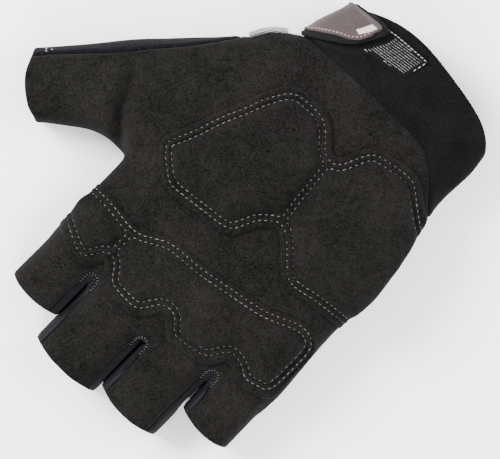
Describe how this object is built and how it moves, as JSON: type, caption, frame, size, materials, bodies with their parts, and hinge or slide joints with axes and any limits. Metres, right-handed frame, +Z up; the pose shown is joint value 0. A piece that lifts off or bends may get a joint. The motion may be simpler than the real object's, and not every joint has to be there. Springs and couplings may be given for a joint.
{
  "type": "half-finger cycling glove",
  "caption": "Right-hand half-finger cycling glove lying palm up, with padded suede palm overlays, neoprene cuff, wrist strap and open finger and thumb stalls.",
  "frame": {"origin": "on the resting face of the glove's back, under the middle of the knuckles' width and of the glove's length", "axes": "+X towards the thumb's side, +Y towards the fingers, +Z up out of the palm"},
  "size_m": [0.1504, 0.1755, 0.0312],
  "materials": {
    "suede": "black-brown synthetic suede, fine matt nap",
    "overlay_suede": "black-brown synthetic suede over foam, twin rows of grey stitching",
    "stretch_knit": "black stretch knit with a grey fleck, matt",
    "terry": "navy-black looped terry knit",
    "gusset_knit": "navy-black stretch mesh, matt",
    "neoprene": "black neoprene with a smooth knitted face",
    "strap_loop": "black brushed loop strap, matt",
    "moulded_tab": "grey-brown moulded rubber with fine ribs, satin",
    "pale_inlay": "pale grey moulded bar, satin",
    "hook_tape": "black woven hook tape with glossy raised rows"
  },
  "bodies": {
    "root": {"palm_panel": "suede", "back_panel": "stretch_knit", "thumb_back": "terry", "cuff": "neoprene", "gusset_little_ring": "gusset_knit", "gusset_ring_middle": "gusset_knit", "gusset_middle_index": "gusset_knit", "heel_overlay": "overlay_suede", "knuckle_overlay": "overlay_suede", "closure_strap": "strap_loop", "tab_face": "moulded_tab", "tab_inlay": "pale_inlay", "hook_patch": "hook_tape"}
  },
  "joints": []
}
